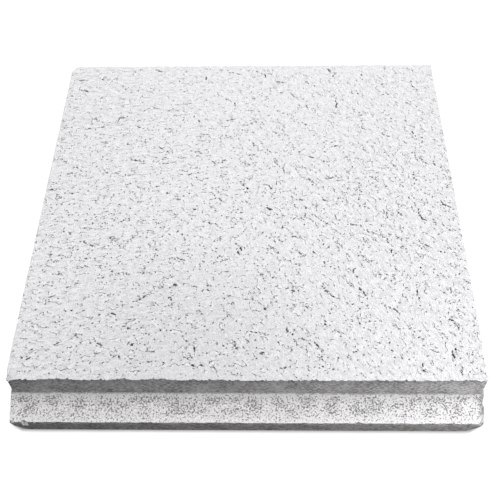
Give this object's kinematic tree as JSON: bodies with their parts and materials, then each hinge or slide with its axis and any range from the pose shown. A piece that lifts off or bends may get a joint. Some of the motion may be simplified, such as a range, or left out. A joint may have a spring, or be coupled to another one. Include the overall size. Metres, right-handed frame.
{
  "type": "suspended ceiling tile",
  "caption": "Mineral fibre ceiling tile with a white fissured face and stepped edges that rest on the flanges of a ceiling grid.",
  "frame": {"origin": "middle of the plain back, which the tile lies on", "axes": "+Z out of the fissured face; +Y from the front stepped edge to the rear one; +X along the stepped edges, to the right as seen from the front"},
  "size_m": [0.16, 0.177, 0.015],
  "materials": {
    "mineral_board": "matt white paint on fissured mineral fibre"
  },
  "bodies": {
    "root": {"tile": "mineral_board"}
  },
  "joints": []
}
